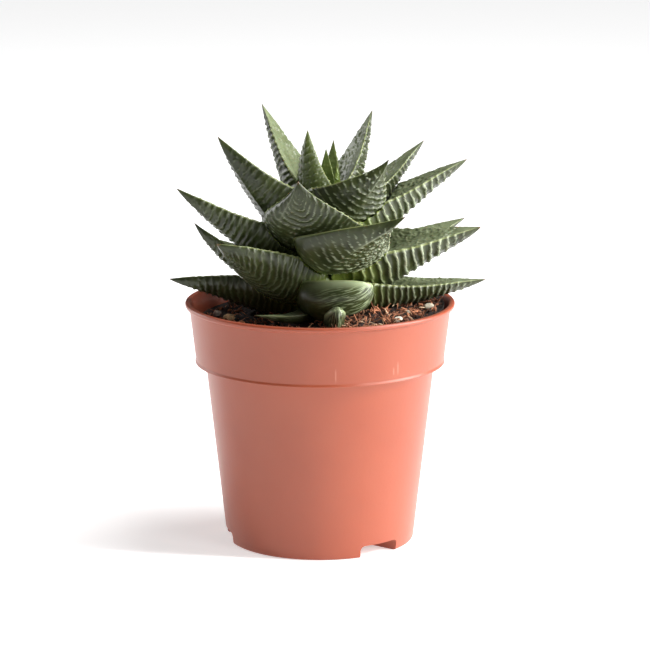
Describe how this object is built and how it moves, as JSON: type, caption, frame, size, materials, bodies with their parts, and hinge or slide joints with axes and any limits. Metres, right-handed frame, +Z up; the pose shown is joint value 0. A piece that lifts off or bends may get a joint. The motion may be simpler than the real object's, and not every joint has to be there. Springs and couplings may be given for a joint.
{
  "type": "potted succulent",
  "caption": "Fairy-washboard haworthia, a rosette of thick ridged leaves on a short stem, in a terracotta-coloured plastic nursery pot filled with coir potting mix and small stones.",
  "frame": {"origin": "centre of the pot's underside, on its axis, where the pot stands", "axes": "+Z up along the pot's axis; +X to the right and -Y towards a viewer who sees the plant as pictured"},
  "size_m": [0.106, 0.095, 0.145],
  "materials": {
    "terracotta_plastic": "satin",
    "potting_mix": "matte",
    "leaf_skin": "satin",
    "stem_skin": "matte",
    "pumice": "matte"
  },
  "bodies": {
    "root": {"pot": "terracotta_plastic", "soil": "potting_mix", "stem": "stem_skin", "heart_leaf_1": "leaf_skin", "heart_leaf_2": "leaf_skin", "heart_leaf_3": "leaf_skin", "heart_leaf_4": "leaf_skin", "upper_leaf_1": "leaf_skin", "upper_leaf_2": "leaf_skin", "upper_leaf_3": "leaf_skin", "upper_leaf_4": "leaf_skin", "upper_leaf_5": "leaf_skin", "upper_leaf_6": "leaf_skin", "upper_leaf_7": "leaf_skin", "middle_leaf_1": "leaf_skin", "middle_leaf_2": "leaf_skin", "middle_leaf_3": "leaf_skin", "middle_leaf_4": "leaf_skin", "middle_leaf_5": "leaf_skin", "middle_leaf_6": "leaf_skin", "lower_leaf_1": "leaf_skin", "lower_leaf_2": "leaf_skin", "lower_leaf_3": "leaf_skin", "lower_leaf_4": "leaf_skin", "lower_leaf_5": "leaf_skin", "ground_leaf_1": "leaf_skin", "ground_leaf_2": "leaf_skin", "ground_leaf_3": "leaf_skin", "ground_leaf_4": "leaf_skin", "ground_leaf_5": "leaf_skin", "ground_leaf_6": "leaf_skin", "ground_leaf_7": "leaf_skin", "stone_1": "pumice", "stone_2": "pumice", "stone_3": "pumice", "stone_4": "pumice", "stone_5": "pumice", "stone_6": "pumice", "stone_7": "pumice", "stone_8": "pumice", "stone_9": "pumice"}
  },
  "joints": []
}
